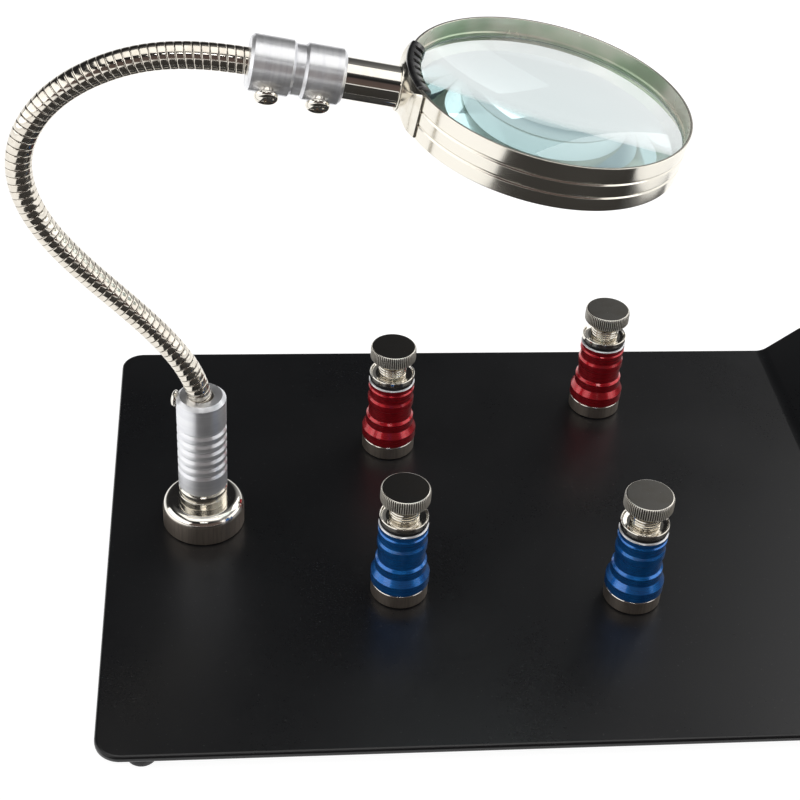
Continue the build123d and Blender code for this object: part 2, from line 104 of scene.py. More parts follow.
NECK_SAMPLES = 20                 # along one turn
NECK_SIDES = 40
NECK_SUNK = 4.0                   # how far each end goes into the column or the coupler
CURVE_POINTS = 6000               # along the gooseneck, before it is spaced evenly
COUPLER_RADIUS = 6.05
COUPLER_LENGTH = 20.4
COUPLER_GROOVE = (9.6, 11.6, 0.6)   # from, to, depth
COUPLER_CHAMFER = 0.7
COUPLER_NECK_DEPTH = 9.2
COUPLER_WEB = 10.9
HANDLE_RADIUS = 4.5
HANDLE_WALL = 0.7
HANDLE_REACH = 33.0
LENS_PITCH = radians(9.0)
LENS_ROLL = radians(2.3)
RING_RADIUS = 31.75
RING_HEIGHT = 10.3
RING_WALL = 0.6
BEAD_DROPS = (3.8, 7.0)
BEAD_DEPTH = 0.22
BEAD_HALF = 0.38
RIM_HEIGHT = sum(BEAD_DROPS) / 2  # of the ring above the lens's middle
SADDLE_COLLAR = 5.15
SADDLE_HALF_ANGLE = radians(22.5)
SADDLE_STANDS = (0.42, 1.15)      # above the ring's wall, at the band and at the collar
SADDLE_CURVE = 1.8                # power by which it rises from one to the other
INSERT_MIDDLE = radians(178.5)
INSERT_HALF_ANGLE = radians(19.5)
INSERT_NOTCHES = 6
INSERT_SECTION = (                # radius and height above the ring's rim
    (32.05, -0.7), (32.2, -0.2), (32.15, 0.25), (31.9, 0.5), (31.4, 0.58), (30.9, 0.5),
    (30.4, 0.32), (29.8, 0.05), (29.2, -0.25), (28.8, -0.65), (28.65, -1.2), (28.65, -2.4),
    (28.7, -3.1), (31.1, -3.1), (31.1, -0.7),
)
GLASS_RADIUS = 30.9
GLASS_EDGE = 2.0
GLASS_THICKNESS = 8.6
THREAD_RADIUS = 1.92
THREAD_PITCH = 0.7
THREAD_DEPTH = 0.35
KNURLS = 66
KNURL_DEPTH = 0.34
HEAD_RADIUS = 6.0
HEAD_HEIGHT = 3.75
WAIST_HEIGHT = 4.95
PILLAR_POT = (7.0, 4.1, 0.35)     # radius, height, edge radius
PILLAR_OUTLINE = (                # radius and height above the pot magnet
    (6.95, 0), (7.2, 0.3), (7.2, 2.9), (6.3, 4.65), (6.3, 6.9), (5.75, 7.5), (5.75, 10.85),
    (6.1, 11.2), (6.1, 12.9), (5.8, 13.65), (5.8, 15.35), (6.05, 15.6), (6.05, 16.3),
    (5.75, 16.65), (5.75, 16.95), (6.05, 17.25), (6.05, 18.1), (5.75, 18.4),
)
WASHER = (2.35, 5.75)             # hole and outer radius
DISH_OUTLINE = (
    (BORE_RADIUS, 0), (5.75, 0), (6.05, 0.2), (5.92, 1.15), (5.78, 1.35), (5.6, 1.25), (5.3, 0.75),
    (4.4, 0.6), (BORE_RADIUS, 0.6), (BORE_RADIUS, 0),
)
BARE_FROM = 18.06                 # height on a pillar where the machined, undyed edge begins

PLATING = (0.83, 0.80, 0.735)
SOFT_WHITE = (1.0, 0.99, 0.98)


# ---- meshes ----

def mesh_piece(name, points, faces, place=None):
    """A smooth-shaded mesh object from arrays of points and faces, placed by a matrix."""
    mesh = bpy.data.meshes.new(name)
    mesh.from_pydata([tuple(p) for p in points], [], faces)
    mesh.polygons.foreach_set("use_smooth", [True] * len(mesh.polygons))
    mesh.validate()
    mesh.update()
    piece = bpy.data.objects.new(name, mesh)
    bpy.context.scene.collection.objects.link(piece)
    if place is not None:
        piece.matrix_world = place
    return piece


def even_normals(piece):
    """Flat faces keep their own direction next to small rounded edges."""
    modifier = piece.modifiers.new("even_normals", "WEIGHTED_NORMAL")
    modifier.mode = "FACE_AREA"
    modifier.weight = 50
    modifier.keep_sharp = True
    return piece


def crisp_edges(piece, angle):
    """Edges sharper than the angle are shaded as edges."""
    piece.modifiers.clear()
    piece.data.set_sharp_from_angle(angle=angle)


def mark(piece, name, values):
    """Stores one number for each point of a mesh, for its material to read."""
    attribute = piece.data.attributes.new(name, "FLOAT", "POINT")
    attribute.data.foreach_set("value", np.asarray(values, dtype=np.float32).ravel())


def grid_faces(rows, columns):
    """Quads over a grid of points that closes round its columns."""
    faces = []
    for row in range(rows - 1):
        here, above = row * columns, (row + 1) * columns
        for column in range(columns):
            beside = (column + 1) % columns
            faces.append((here + column, here + beside, above + beside, above + column))
    return faces


def rounded(outline, radius=ROUND, steps=4, keep=()):
    """The (radius, height) outline with its corners rounded, but not its ends or those in keep."""
    result = [Vector(outline[0])]
    for number in range(1, len(outline) - 1):
        before, corner, after = (Vector(outline[number + k]) for k in (-1, 0, 1))
        to_before, to_after = before - corner, after - corner
        bend = pi - to_before.angle(to_after)
        if number in keep or bend < radians(4):
            result.append(corner)
            continue
        cut = min(radius * tan(bend / 2), 0.45 * to_before.length, 0.45 * to_after.length)
        start = corner + to_before.normalized() * cut
        end = corner + to_after.normalized() * cut
        for step in range(steps + 1):
            share = step / steps
            result.append(start.lerp(corner, share).lerp(corner.lerp(end, share), share))
    result.append(Vector(outline[-1]))
    return [(p.x, p.y) for p in result]


def lathe(name, outline, place, segments=96, ripple=None):
    """A turned piece from (radius, height) in millimetres. A radius of zero closes the end."""
    rings = [(r, h) for r, h in outline if r > 1e-6]
    turn = np.arange(segments) * tau / segments
    points = []
    for radius, height in rings:
        reach = np.full(segments, radius)
        if ripple is not None:
            reach = reach - ripple(turn, radius, height)
        level = np.full(segments, height)
        points.append(np.stack([reach * np.cos(turn), reach * np.sin(turn), level], 1))
    points = np.concatenate(points) * MM
    faces = grid_faces(len(rings), segments)
    closed = outline[0] == outline[-1]
    if closed:
        points = points[:-segments]
        last = (len(rings) - 1) * segments
        faces = [tuple(v % last for v in face) for face in faces]
    for end, ring in ((0, 0), (-1, len(rings) - 1)):
        if outline[end][0] > 1e-6 or closed:
            continue
        points = np.vstack([points, [0, 0, outline[end][1] * MM]])
        hub = len(points) - 1
        for column in range(segments):
            beside = (column + 1) % segments
            pair = (ring * segments + column, ring * segments + beside)
            faces.append((hub, pair[1], pair[0]) if end == 0 else (hub, pair[0], pair[1]))
    return even_normals(mesh_piece(name, points, faces, place))


def upright(node):
    """The matrix at the foot of a node's vertical axis."""
    low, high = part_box(node)
    return Matrix.Translation(((low.x + high.x) / 2, (low.y + high.y) / 2, low.z))


def facing(origin, z_axis):
    """The matrix whose Z axis points along z_axis, with its Y axis level."""
    z = Vector(z_axis).normalized()
    y = z.cross(Vector((0, 0, 1))).normalized()
    x = y.cross(z)
    matrix = Matrix((x, y, z)).transposed().to_4x4()
    matrix.translation = origin
    return matrix


def height_of(node):
    low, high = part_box(node)
    return (high.z - low.z) / MM


def joint(name):
    return next(j for j in frame["joints"] if j["name"] == name)


# ---- materials ----

def grey(level):
    return (level, level, level)


class Finish:
    """A node material with short calls for the nodes that most finishes share."""

    def __init__(self, name, colour, **values):
        self.material = bpy.data.materials.new(name)
        self.material.use_nodes = True
        self.nodes = self.material.node_tree.nodes
        self.links = self.material.node_tree.links
        self.shader = self.nodes["Principled BSDF"]
        self.shader.inputs["Base Color"].default_value = (*colour, 1)
        for socket, value in values.items():
            self.shader.inputs[socket.replace("_", " ")].default_value = value
        self.place = self.nodes.new("ShaderNodeTexCoord").outputs["Object"]
        self.last_bump = None

    def link(self, source, node, socket):
        self.links.new(source, node.inputs[socket])

    def stretched(self, scale):
        node = self.nodes.new("ShaderNodeMapping")
        node.inputs["Scale"].default_value = scale
        self.link(self.place, node, "Vector")
        return node.outputs["Vector"]

    def noise(self, scale, detail=3.0, roughness=0.55):
        """Noise with scale features per metre, given as one number or one for each axis."""
        vector = self.place
        if not isinstance(scale, (int, float)):
            vector, scale = self.stretched(scale), 1.0
        node = self.nodes.new("ShaderNodeTexNoise")
        node.inputs["Scale"].default_value = scale
        node.inputs["Detail"].default_value = detail
        node.inputs["Roughness"].default_value = roughness
        self.link(vector, node, "Vector")
        return node.outputs[0]

    def ramp(self, source, low, high, start=0.35, end=0.65):
        node = self.nodes.new("ShaderNodeMapRange")
        node.interpolation_type = "SMOOTHSTEP"
        limits = {"From Min": start, "From Max": end, "To Min": low, "To Max": high}
        for socket, value in limits.items():
            node.inputs[socket].default_value = value
        self.link(source, node, "Value")
        return node.outputs["Result"]

    def maths(self, operation, first, second=0.5):
        node = self.nodes.new("ShaderNodeMath")
        node.operation = operation
        for socket, value in enumerate((first, second)):
            if isinstance(value, (int, float)):
                node.inputs[socket].default_value = value
            else:
                self.links.new(value, node.inputs[socket])
        return node.outputs[0]

    def weighed(self, first, share, second):
        """The first value times its share, plus the second times what is left."""
        rest = self.maths("MULTIPLY", second, 1 - share)
        return self.maths("ADD", self.maths("MULTIPLY", first, share), rest)

    def blended(self, share, first, second):
        """A colour that goes from first to second as share goes from 0 to 1."""
        node = self.nodes.new("ShaderNodeMix")
        node.data_type = "RGBA"
        for socket, value in ((6, first), (7, second)):
            if isinstance(value, tuple):
                node.inputs[socket].default_value = (*value, 1)
            else:
                self.links.new(value, node.inputs[socket])
        self.links.new(share, node.inputs[0])
        return node.outputs[2]

    def colour(self, source):
        self.link(source, self.shader, "Base Color")

    def rough(self, source, low, high, start=0.35, end=0.65):
        self.link(self.ramp(source, low, high, start, end), self.shader, "Roughness")

    def bump(self, source, depth_mm):
        node = self.nodes.new("ShaderNodeBump")
        node.inputs["Strength"].default_value = 1.0
        node.inputs["Distance"].default_value = depth_mm * MM
        self.link(source, node, "Height")
        if self.last_bump is not None:
            self.link(self.last_bump, node, "Normal")
        self.last_bump = node.outputs["Normal"]
        self.link(self.last_bump, self.shader, "Normal")

    def axis(self, letter):
        node = self.nodes.new("ShaderNodeSeparateXYZ")
        self.link(self.place, node, "Vector")
        return node.outputs[letter]

    def attribute(self, name):
        node = self.nodes.new("ShaderNodeAttribute")
        node.attribute_name = name
        return node.outputs["Fac"]


def nickel(name, colour, low, high):
    """Bright plating: faint waviness, hairline polish marks and a thin film of handling."""
    finish = Finish(name, colour, Metallic=1.0)
    film = finish.noise(140, 4)
    hairs = finish.noise((900, 900, 120), 4)
    finish.rough(finish.weighed(film, 0.7, hairs), low, high, 0.38, 0.62)
    warm = tuple(c * f for c, f in zip(colour, (0.93, 0.91, 0.88)))
    finish.colour(finish.blended(finish.ramp(film, 0, 1, 0.42, 0.62), colour, warm))
    finish.bump(finish.noise(260, 2), 0.006)
    finish.bump(hairs, 0.0006)
    return finish.material


def pot_nickel():
    """Bright plating on a magnet's pot, drawn to a dull satin down its side, where its brownish colour is a
    painted reflection.
    """
    finish = Finish("pot_nickel", PLATING, Metallic=1.0)
    side = finish.attribute("side")
    film = finish.noise(140, 4)
    draw = finish.noise((1500, 1500, 90), 3)
    satin = finish.ramp(side, 0.0, 0.31, 0.0, 1.0)
    rough = finish.maths("ADD", finish.ramp(film, 0.05, 0.10), satin)
    finish.link(finish.maths("ADD", rough, finish.ramp(draw, 0.0, 0.05)), finish.shader, "Roughness")
    # painted reflection: the brownish colour down the side stands in for the surroundings it mirrors, not the
    # plating's own colour
    dull = finish.blended(finish.ramp(draw, 0, 1), (0.62, 0.54, 0.46), (0.50, 0.43, 0.37))
    finish.colour(finish.blended(finish.ramp(side, 0, 1, 0.0, 1.0), PLATING, dull))
    finish.bump(film, 0.006)
    return finish.material


def ring_nickel():
    """Satin plating outside; on the unpolished inner wall the green of the glass is a painted reflection, with
    pale patches of painted highlight.
    """
    colour = (0.84, 0.805, 0.72)
    finish = Finish("ring_nickel", colour, Metallic=1.0)
    inside = finish.attribute("inside")
    film = finish.noise(60, 4)
    wave = finish.noise(55, 2)
    dull = finish.ramp(inside, 0.0, 0.12, 0.0, 1.0)
    rough = finish.maths("ADD", finish.ramp(film, 0.11, 0.18), dull)
    finish.link(rough, finish.shader, "Roughness")
    finish.link(finish.ramp(inside, 1.0, 0.45, 0.0, 1.0), finish.shader, "Metallic")
    # painted light on the inner wall: green as a painted reflection of the glass, pale champagne patches as
    # painted highlights
    painted_highlight_patches = finish.ramp(wave, 0, 1, 0.36, 0.56)
    inner = finish.blended(painted_highlight_patches, (0.52, 0.66, 0.46), (1.0, 0.95, 0.82))
    finish.colour(finish.blended(inside, colour, inner))
    finish.bump(wave, 0.06)
    finish.bump(finish.noise(500, 2), 0.002)
    return finish.material


def knurled_nickel():
    """Bright plating, worn satin on the knurl's ridges, with painted shade down between them."""
    finish = Finish("knurled_nickel", PLATING, Metallic=1.0)
    knurl = finish.attribute("knurl")
    film = finish.noise(140, 4)
    worn = finish.ramp(knurl, 0.0, 0.34, 0.0, 0.4)
    rough = finish.maths("ADD", finish.ramp(film, 0.05, 0.10), worn)
    finish.link(rough, finish.shader, "Roughness")
    body = finish.blended(finish.ramp(film, 0, 1, 0.42, 0.62), PLATING, (0.77, 0.73, 0.65))
    # painted shade: near black down in the gaps between the knurl's ridges
    finish.colour(finish.blended(finish.ramp(knurl, 0, 1, 0.5, 0.95), body, (0.04, 0.03, 0.02)))
    finish.link(finish.ramp(knurl, 1.0, 0.5, 0.1, 0.4), finish.shader, "Metallic")
    finish.bump(finish.noise(900, 2), 0.004)
    return finish.material


def turned_aluminium():
    """Satin metal with fine lathe lines round its own Z axis."""
    colour = (0.87, 0.88, 0.90)
    finish = Finish("turned_aluminium", colour, Metallic=0.82, Anisotropic=0.6,
                    Anisotropic_Rotation=0.25)
    lines = finish.noise((60, 60, 3600), 3, 0.7)
    broad = finish.noise((60, 60, 900), 2)
    finish.rough(lines, 0.29, 0.41)
    finish.colour(finish.blended(finish.ramp(broad, 0, 1), colour, (0.79, 0.80, 0.83)))
    finish.bump(lines, 0.0012)
    finish.bump(broad, 0.0015)
    tangent = finish.nodes.new("ShaderNodeTangent")
    tangent.direction_type = "RADIAL"
    tangent.axis = "Z"
    finish.link(tangent.outputs[0], finish.shader, "Tangent")
    return finish.material


def anodised(name, colour, deep, bare_from):
    """Dyed aluminium with lathe lines, bare above the height bare_from in millimetres."""
    finish = Finish(name, colour, Metallic=0.72, Coat_Weight=0.6, Coat_Roughness=0.10, Coat_IOR=1.7)
    lines = finish.noise((80, 80, 5200), 3, 0.7)
    cloud = finish.noise(330, 3)
    height = finish.axis("Z")
    dyed = finish.blended(finish.ramp(cloud, 0, 1, 0.3, 0.7), colour, deep)
    bare = finish.ramp(height, 0, 1, (bare_from - 0.05) * MM, (bare_from + 0.05) * MM)
    finish.colour(finish.blended(bare, dyed, (0.78, 0.79, 0.81)))
    finish.rough(lines, 0.24, 0.38)
    finish.bump(lines, 0.003)
    return finish.material


def powder_coat():
    """Satin black paint with a fine orange-peel grain, dust specks and handling marks."""
    colour = (0.0068, 0.0072, 0.0084)
    finish = Finish("black_powder_coat", colour, Specular_IOR_Level=0.5)
    grain = finish.noise(1900, 3, 0.6)
    pits = finish.noise(5200, 2)
    cloud = finish.noise(22, 4)
    specks = finish.noise(1500, 1)
    finish.rough(finish.weighed(cloud, 0.6, grain), 0.27, 0.36)
    spotted = finish.ramp(specks, 0, 1, 0.74, 0.78)
    finish.colour(finish.blended(spotted, colour, (0.04, 0.04, 0.042)))
    finish.bump(grain, 0.012)
    finish.bump(pits, 0.004)
    return finish.material


def rubber():
    colour = (0.012, 0.012, 0.013)
    finish = Finish("black_rubber", colour, Specular_IOR_Level=0.45)
    grain = finish.noise(2600, 4)
    wear = finish.noise(300, 3)
    finish.rough(grain, 0.45, 0.62)
    finish.colour(finish.blended(finish.ramp(wear, 0, 1, 0.4, 0.75), colour, (0.032, 0.031, 0.031)))
    finish.bump(grain, 0.02)
    return finish.material


def black_gloss():
    finish = Finish("black_gloss_plastic", (0.010, 0.010, 0.011), Coat_Weight=0.5,
                    Coat_Roughness=0.05)
    flow = finish.noise(420, 3)
    finish.rough(flow, 0.10, 0.24)
    streaks = finish.ramp(flow, 0, 1)
    finish.colour(finish.blended(streaks, (0.009, 0.009, 0.010), (0.018, 0.018, 0.019)))
    finish.bump(flow, 0.03)
    return finish.material


def magnet_grey():
    finish = Finish("ground_magnet", (0.16, 0.16, 0.17), Metallic=0.9)
    grind = finish.noise((400, 3000, 400), 4)
    finish.rough(grind, 0.35, 0.55)
    finish.colour(finish.blended(finish.ramp(grind, 0, 1), (0.13, 0.13, 0.14), (0.20, 0.20, 0.21)))
    finish.bump(grind, 0.01)
    return finish.material


def zinc_thread():
    finish = Finish("zinc_steel", grey(0.62), Metallic=1.0)
    cloud = finish.noise(600, 3)
    finish.rough(cloud, 0.22, 0.36)
    finish.colour(finish.blended(finish.ramp(cloud, 0, 1), grey(0.62), (0.50, 0.50, 0.49)))
    return finish.material


def wound_nickel():
    """Plated wire turns, duller down in the gaps between them, with painted shade darkening the gaps."""
    colour = (0.80, 0.755, 0.67)
    finish = Finish("gooseneck_nickel", colour, Metallic=1.0)
    gap = finish.attribute("gap")
    film = finish.noise(420, 4)
    body = finish.blended(finish.ramp(film, 0, 1), colour, (0.70, 0.65, 0.57))
    # painted shade: dark brown down in the gaps between turns
    finish.colour(finish.blended(finish.ramp(gap, 0, 1, 0.15, 0.85), body, (0.10, 0.085, 0.065)))
    gap_dullness = finish.ramp(gap, 0.0, 0.25, 0.2, 0.9)
    rough = finish.maths("ADD", finish.ramp(film, 0.07, 0.16), gap_dullness)
    finish.link(rough, finish.shader, "Roughness")
    finish.bump(finish.noise(1300, 2), 0.004)
    return finish.material


def glass():
    """Clear crown glass with faint smears, a ground edge and a blue-green tint in its depth."""
    clear = (0.84, 0.865, 0.865)
    finish = Finish("lens_glass", clear, IOR=1.52, Transmission_Weight=1.0)
    smear = finish.noise((60, 160, 60), 4)
    ground = finish.attribute("ground")
    smeared = finish.ramp(smear, 0.0, 0.018, 0.5, 0.75)
    rough = finish.maths("ADD", smeared, finish.maths("MULTIPLY", ground, 0.7))
    finish.link(rough, finish.shader, "Roughness")
    finish.colour(finish.blended(ground, clear, (0.80, 0.88, 0.85)))
    depth = finish.nodes.new("ShaderNodeVolumeAbsorption")
    depth.inputs["Color"].default_value = (0.72, 0.85, 0.855, 1)
    depth.inputs["Density"].default_value = 40.0
    output = finish.nodes["Material Output"]
    finish.link(depth.outputs[0], output, "Volume")
    return finish.material


MATERIALS = {
    "black_powder_coat": powder_coat(),
    "black_rubber": rubber(),
    "magnet": magnet_grey(),
    "turned_aluminium": turned_aluminium(),
    "red_anodised": anodised("red_anodised", (0.60, 0.008, 0.020), (0.48, 0.005, 0.014), BARE_FROM),
    "blue_anodised": anodised("blue_anodised", (0.009, 0.20, 0.65), (0.006, 0.14, 0.50), BARE_FROM),
    "lens_glass": glass(),
    "black_plastic": black_gloss(),
    "gooseneck_nickel": wound_nickel(),
    "zinc_steel": zinc_thread(),
    "bright_nickel": nickel("bright_nickel", PLATING, 0.045, 0.10),
    "satin_nickel": nickel("satin_nickel", (0.82, 0.79, 0.71), 0.15, 0.22),
    "pot_nickel": pot_nickel(),
    "ring_nickel": ring_nickel(),
    "knurled_nickel": knurled_nickel(),
}


def finished(piece, slot, body, *nodes, finish=None):
    """Gives a piece its finish and body, and says which CAD nodes it stands for."""
    piece.data.materials.append(MATERIALS[finish or slot])
    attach(piece, body)
    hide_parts(*nodes)


def dress_cad_nodes():
    """The CAD nodes that stay get the finish of their record slot."""
    slots = {s["node"]: s["material_slot"] for s in frame["record"]["subparts"]}
    for name, node in frame["nodes"].items():
        node.data.materials.clear()
        node.data.materials.append(MATERIALS[slots[name]])


# ---- base ----

def make_feet():
    for row in ("front", "rear"):
        for side in ("left", "right"):
            node = f"foot_{row}_{side}"
            tall = height_of(node)
            outline = [(0, 0), (FOOT_RADIUS, 0), (FOOT_RADIUS, tall), (0, tall)]
            outline = rounded(outline, FOOT_ROUND, 6, keep=(2,))
            finished(lathe(f"{node}_pad", outline, upright(node), 64), "black_rubber", "base", node)


# ---- magnifier stand ----

def pot_outline(radius, height, edge):
    """A steel pot, open below, with a rounded top edge."""
    crown = [(radius - edge + edge * sin(a), height - edge + edge * cos(a))
             for a in np.linspace(0, pi / 2, 13)]
    inner, ceiling = radius - POT_WALL, height - POT_WALL
    skirt = rounded([
        (radius, height - edge), (radius, 0.4), (radius - 0.35, 0), (inner, 0), (inner, ceiling),
        (0, ceiling),
    ], 0.12)
    return [(0, height)] + crown + skirt[1:]


def points_of(piece):
    """The distance from the axis and the height of each point of a turned piece, in millimetres."""
    spots = np.empty(len(piece.data.vertices) * 3)
    piece.data.vertices.foreach_get("co", spots)
    spots = spots.reshape(-1, 3) / MM
    return np.hypot(spots[:, 0], spots[:, 1]), spots[:, 2]


def make_pot(name, body, node, radius, height, edge):
    """A magnet's pot, with its side marked for the satin finish and its painted reflection."""
    piece = lathe(name, pot_outline(radius, height, edge), upright(node), 144)
    reach, level = points_of(piece)
    mark(piece, "side", (reach > radius - 0.5) & (level < height - edge * 0.85))
    finished(piece, "bright_nickel", body, node, finish="pot_nickel")


def make_stand():
    make_pot("stand_pot", "stand", "stand_magnet_pot", STAND_RADIUS, STAND_HEIGHT, STAND_ROUND)
    seat = upright("stand_magnet_pot") @ Matrix.Translation((0, 0, STAND_HEIGHT * MM))
    collar = lathe("stand_collar", rounded(COLLAR_OUTLINE, 0.12), seat, 128)
    finished(collar, "satin_nickel", "stand", "stand_boss")

    tall = height_of("stand_column")
    count, first, pitch, width, depth = COLUMN_GROOVES
    radius = COLUMN_RADIUS
    outline = [(BORE_RADIUS, 0), (radius - COLUMN_BEVEL[0], 0), (radius, COLUMN_BEVEL[1])]
    for number in range(count):
        middle = first + number * pitch
        outline += [(radius, middle - width / 2), (radius - depth, middle),
                    (radius, middle + width / 2)]
    socket, floor = NECK_RADIUS + 0.07, tall - COLUMN_SOCKET
    outline += [
        (radius, tall - COLUMN_CHAMFER), (radius - COLUMN_CHAMFER, tall),
        (NECK_RADIUS + 0.35, tall),
        (socket, tall - 0.28), (socket, floor), (BORE_RADIUS, floor), (BORE_RADIUS, 0),
    ]
    column = lathe("stand_pillar", rounded(outline, 0.16), upright("stand_column"), 144)
    finished(column, "turned_aluminium", "stand", "stand_column")


# ---- gooseneck ----

def neck_curve(points, first_way, last_way, spacing):
    """A smooth line through the points that starts along first_way and ends along last_way."""
    lengths = [(there - here).length for here, there in zip(points[:-1], points[1:])]
    knots = np.array([0.0] + lengths).cumsum()
    values = np.array([tuple(p) for p in points])
    count = len(knots)
    system = np.zeros((count, count))
    right = np.zeros((count, 3))
    system[0, 0] = system[-1, -1] = 1
    right[0], right[-1] = tuple(first_way), tuple(last_way)
    for k in range(1, count - 1):
        before, after = knots[k] - knots[k - 1], knots[k + 1] - knots[k]
        system[k, k - 1:k + 2] = after, 2 * (before + after), before
        right[k] = 3 * (after * (values[k] - values[k - 1]) / before
                        + before * (values[k + 1] - values[k]) / after)
    slopes = np.linalg.solve(system, right)
    fine = np.linspace(0, knots[-1], CURVE_POINTS)
    span = np.clip(np.searchsorted(knots, fine, side="right") - 1, 0, count - 2)
    step = knots[span + 1] - knots[span]
    t = ((fine - knots[span]) / step)[:, None]
    step = step[:, None]
    p0, p1 = values[span], values[span + 1]
    m0, m1 = slopes[span] * step, slopes[span + 1] * step
    line = (
        (2 * t**3 - 3 * t**2 + 1) * p0 + (t**3 - 2 * t**2 + t) * m0
        + (3 * t**2 - 2 * t**3) * p1 + (t**3 - t**2) * m1
    )
    run = np.concatenate([[0], np.linalg.norm(np.diff(line, axis=0), axis=1).cumsum()])
    stations = np.arange(0, run[-1], spacing)
    path = np.stack([np.interp(stations, run, line[:, k]) for k in range(3)], 1)
    knot_runs = np.interp(knots, fine, run)
    return path, stations, knot_runs


def turn_shape(phase):
    """How far below its crest the wound surface is, from 0 to 1, over one turn."""
    share = np.abs((phase % 1.0) - 0.5) * 2
    crown = 0.16 * share**2
    edge = np.clip((share - 0.83) / 0.17, 0, 1)
    return crown + (1 - crown) * (1 - np.cos(edge * pi)) / 2


def make_gooseneck():
    """One wound surface, cut between the ball joints into pieces that each run from one link to the next."""
    chain = [f"neck_link_{k:02d}" for k in range(1, 11)] + ["coupler"]
    neck_joints = [j for j in frame["joints"] if j["name"].startswith("neck_")]
    joints = [next(j for j in neck_joints if j["child"] == body) for body in chain[1:]]
    swivel, handle = joint("neck_swivel"), joint("handle_swivel")
    mouth = Vector(swivel["pos_m"])
    handle_way = Vector(handle["axis"]).normalized()
    head = Vector(handle["pos_m"]) - handle_way * COUPLER_LENGTH * MM
    sunk = NECK_SUNK * MM
    points = [mouth - Vector((0, 0, sunk))]
    points += [Vector(j["pos_m"]) for j in joints]
    points += [head, head + handle_way * sunk]
    spacing = NECK_PITCH * MM / NECK_SAMPLES
    path, stations, knot_runs = neck_curve(points, (0, 0, 1), handle_way, spacing)
    way = np.gradient(path, axis=0)
    way /= np.linalg.norm(way, axis=1)[:, None]
    side = np.tile(np.array([0.0, 1.0, 0.0]), (len(path), 1))
    out = np.cross(way, side)
    out /= np.linalg.norm(out, axis=1)[:, None]
    turn = np.arange(NECK_SIDES) * tau / NECK_SIDES
    phase = stations[:, None] / (NECK_PITCH * MM) + turn[None, :] / tau
    sunken = turn_shape(phase)
    reach = (NECK_RADIUS - NECK_GAP * sunken) * MM
    surface = (
        path[:, None, :]
        + out[:, None, :] * (reach * np.cos(turn))[:, :, None]
        + side[:, None, :] * (reach * np.sin(turn))[:, :, None]
    )
    joint_runs = knot_runs[1:-2]
    middles = [(a + b) / 2 for a, b in zip(joint_runs[:-1], joint_runs[1:])]
    first_cut = (knot_runs[0] + sunk + joint_runs[0]) / 2
    last_cut = (joint_runs[-1] + knot_runs[-2]) / 2
    cuts = [0.0, first_cut] + middles + [last_cut, stations[-1]]
    marks = [int(round(c / spacing)) for c in cuts]
    marks[-1] = len(stations) - 1
    for number in range(len(marks) - 1):
        low, high = marks[number], marks[number + 1]
        points = surface[low:high + 1].reshape(-1, 3)
        faces = grid_faces(high - low + 1, NECK_SIDES)
        name = f"gooseneck_winding_{number + 1:02d}"
        first, last = number == 0, number == len(marks) - 2
        piece = mesh_piece(name, points, faces)
        # the gap mark drives the painted shade in the grooves between turns
        mark(piece, "gap", sunken[low:high + 1])
        piece.data.materials.append(MATERIALS["gooseneck_nickel"])
        if first:
            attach(piece, chain[0])
            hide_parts("gooseneck_link_01")
        elif last:
            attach(piece, "coupler")
        else:
            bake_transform(piece)
            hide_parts(f"gooseneck_link_{number + 1:02d}")


# ---- coupler and handle ----

def handle_frame():
    """The matrix at the coupler's neck end, with its Z axis along the handle."""
    handle = joint("handle_swivel")
    way = Vector(handle["axis"]).normalized()
    return facing(Vector(handle["pos_m"]) - way * COUPLER_LENGTH * MM, way)


def make_coupler():
    start, end, deep = COUPLER_GROOVE
    r, length, cut = COUPLER_RADIUS, COUPLER_LENGTH, COUPLER_CHAMFER
    bore = HANDLE_RADIUS + 0.07
    neck = NECK_RADIUS + 0.04
    outline = [
        (neck, COUPLER_NECK_DEPTH), (neck, 0.25), (neck + 0.25, 0), (r - cut, 0), (r, cut),
        (r, start - deep), (r - deep, start), (r - deep, end), (r, end + deep),
        (r, length - cut), (r - cut, length), (bore + 0.2, length), (bore, length - 0.2),
        (bore, COUPLER_WEB), (1.5, COUPLER_WEB), (1.5, COUPLER_NECK_DEPTH),
        (neck, COUPLER_NECK_DEPTH),
    ]
    piece = lathe("coupler_body", rounded(outline), handle_frame(), 144)
    finished(piece, "turned_aluminium", "coupler", "coupler")
    first = COUPLER_WEB + 0.3
    inner = HANDLE_RADIUS - HANDLE_WALL
    outline = [(inner, first), (HANDLE_RADIUS, first), (HANDLE_RADIUS, HANDLE_REACH),
               (inner, HANDLE_REACH), (inner, first)]
    tube = lathe("handle_tube_polished", rounded(outline, 0.1), handle_frame(), 144)
    finished(tube, "bright_nickel", "magnifier", "handle_tube")


# ---- magnifier head ----

def lens_frame():
    """The matrix at the lens's middle, with its Z axis along the optical axis."""
    low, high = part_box("lens")
    x = Vector((cos(LENS_PITCH), 0, -sin(LENS_PITCH)))
    level = cos(LENS_ROLL)
    z = Vector((sin(LENS_PITCH) * level, -sin(LENS_ROLL), cos(LENS_PITCH) * level))
    y = z.cross(x)
    matrix = Matrix((x, y.normalized(), z.normalized())).transposed().to_4x4()
    matrix.translation = (low + high) / 2
    return matrix


